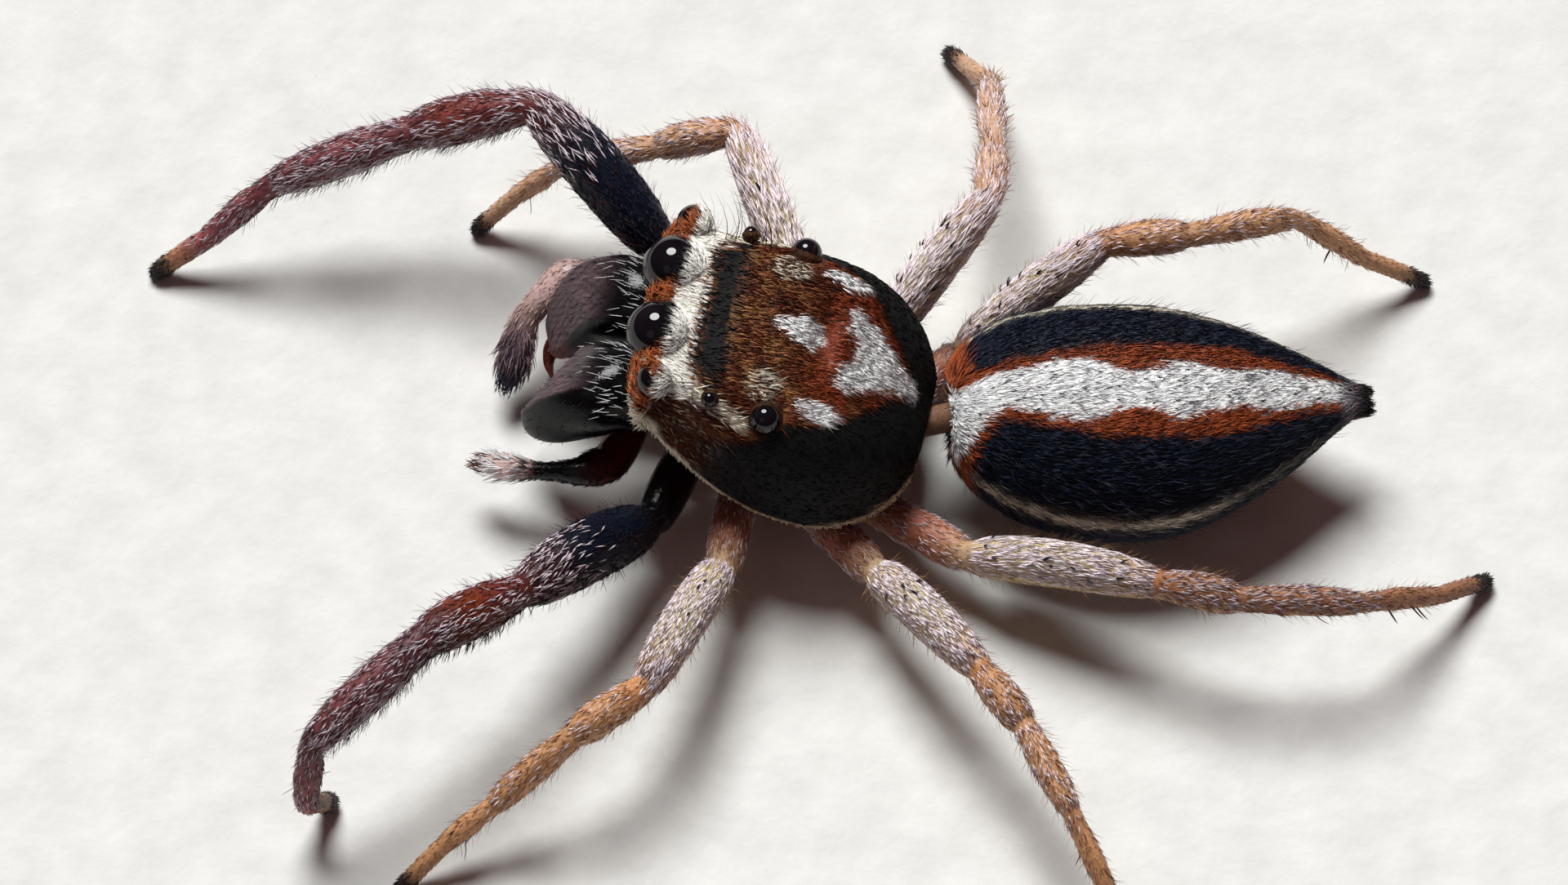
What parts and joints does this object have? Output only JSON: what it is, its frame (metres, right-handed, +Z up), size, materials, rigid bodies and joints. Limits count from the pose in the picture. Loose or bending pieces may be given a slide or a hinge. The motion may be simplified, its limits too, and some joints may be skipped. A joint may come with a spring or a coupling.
{
  "type": "jumping spider",
  "caption": "Life-size still model of a male jumping spider standing on the floor, head raised, front legs spread forward.",
  "frame": {"origin": "middle of the whole spider's box, on the floor that its feet stand on", "axes": "+Z up; the spider faces -Y, within about 8 degrees, and its left side is at +X"},
  "size_m": [0.0112, 0.0142, 0.0029],
  "materials": {
    "carapace": "dark shell under short flat hair",
    "abdomen": "soft skin under short flat hair",
    "underside": "dull brown shell",
    "black": "glossy black shell",
    "eye": "clear dark lens",
    "dark_leg": "dark red-brown shell with pale hairs",
    "pale_leg": "orange-tan shell with whitish hairs",
    "palp": "dark red-brown shell, cream hair at the tip"
  },
  "bodies": {
    "root": {"carapace": "carapace", "eye_front_middle_left": "eye", "eye_front_middle_right": "eye", "eye_front_side_left": "eye", "eye_front_side_right": "eye", "eye_small_middle_left": "eye", "eye_small_middle_right": "eye", "eye_rear_side_left": "eye", "eye_rear_side_right": "eye", "sternum": "underside", "mouthparts": "underside", "pedicel": "underside", "abdomen": "abdomen", "spinnerets": "black", "chelicera_left": "black", "fang_left": "black", "palp_left_arm": "palp", "palp_left_tip": "palp", "chelicera_right": "black", "fang_right": "black", "palp_right_arm": "palp", "palp_right_tip": "palp", "leg_right_1_coxa": "dark_leg", "leg_right_1_femur": "dark_leg", "leg_right_1_tibia": "dark_leg", "leg_right_1_foot": "dark_leg", "leg_right_2_coxa": "pale_leg", "leg_right_2_femur": "pale_leg", "leg_right_2_tibia": "pale_leg", "leg_right_2_foot": "pale_leg", "leg_right_3_coxa": "pale_leg", "leg_right_3_femur": "pale_leg", "leg_right_3_tibia": "pale_leg", "leg_right_3_foot": "pale_leg", "leg_right_4_coxa": "pale_leg", "leg_right_4_femur": "pale_leg", "leg_right_4_tibia": "pale_leg", "leg_right_4_foot": "pale_leg", "leg_left_1_coxa": "dark_leg", "leg_left_1_femur": "dark_leg", "leg_left_1_tibia": "dark_leg", "leg_left_1_foot": "dark_leg", "leg_left_2_coxa": "pale_leg", "leg_left_2_femur": "pale_leg", "leg_left_2_tibia": "pale_leg", "leg_left_2_foot": "pale_leg", "leg_left_3_coxa": "pale_leg", "leg_left_3_femur": "pale_leg", "leg_left_3_tibia": "pale_leg", "leg_left_3_foot": "pale_leg", "leg_left_4_coxa": "pale_leg", "leg_left_4_femur": "pale_leg", "leg_left_4_tibia": "pale_leg", "leg_left_4_foot": "pale_leg"}
  },
  "joints": []
}
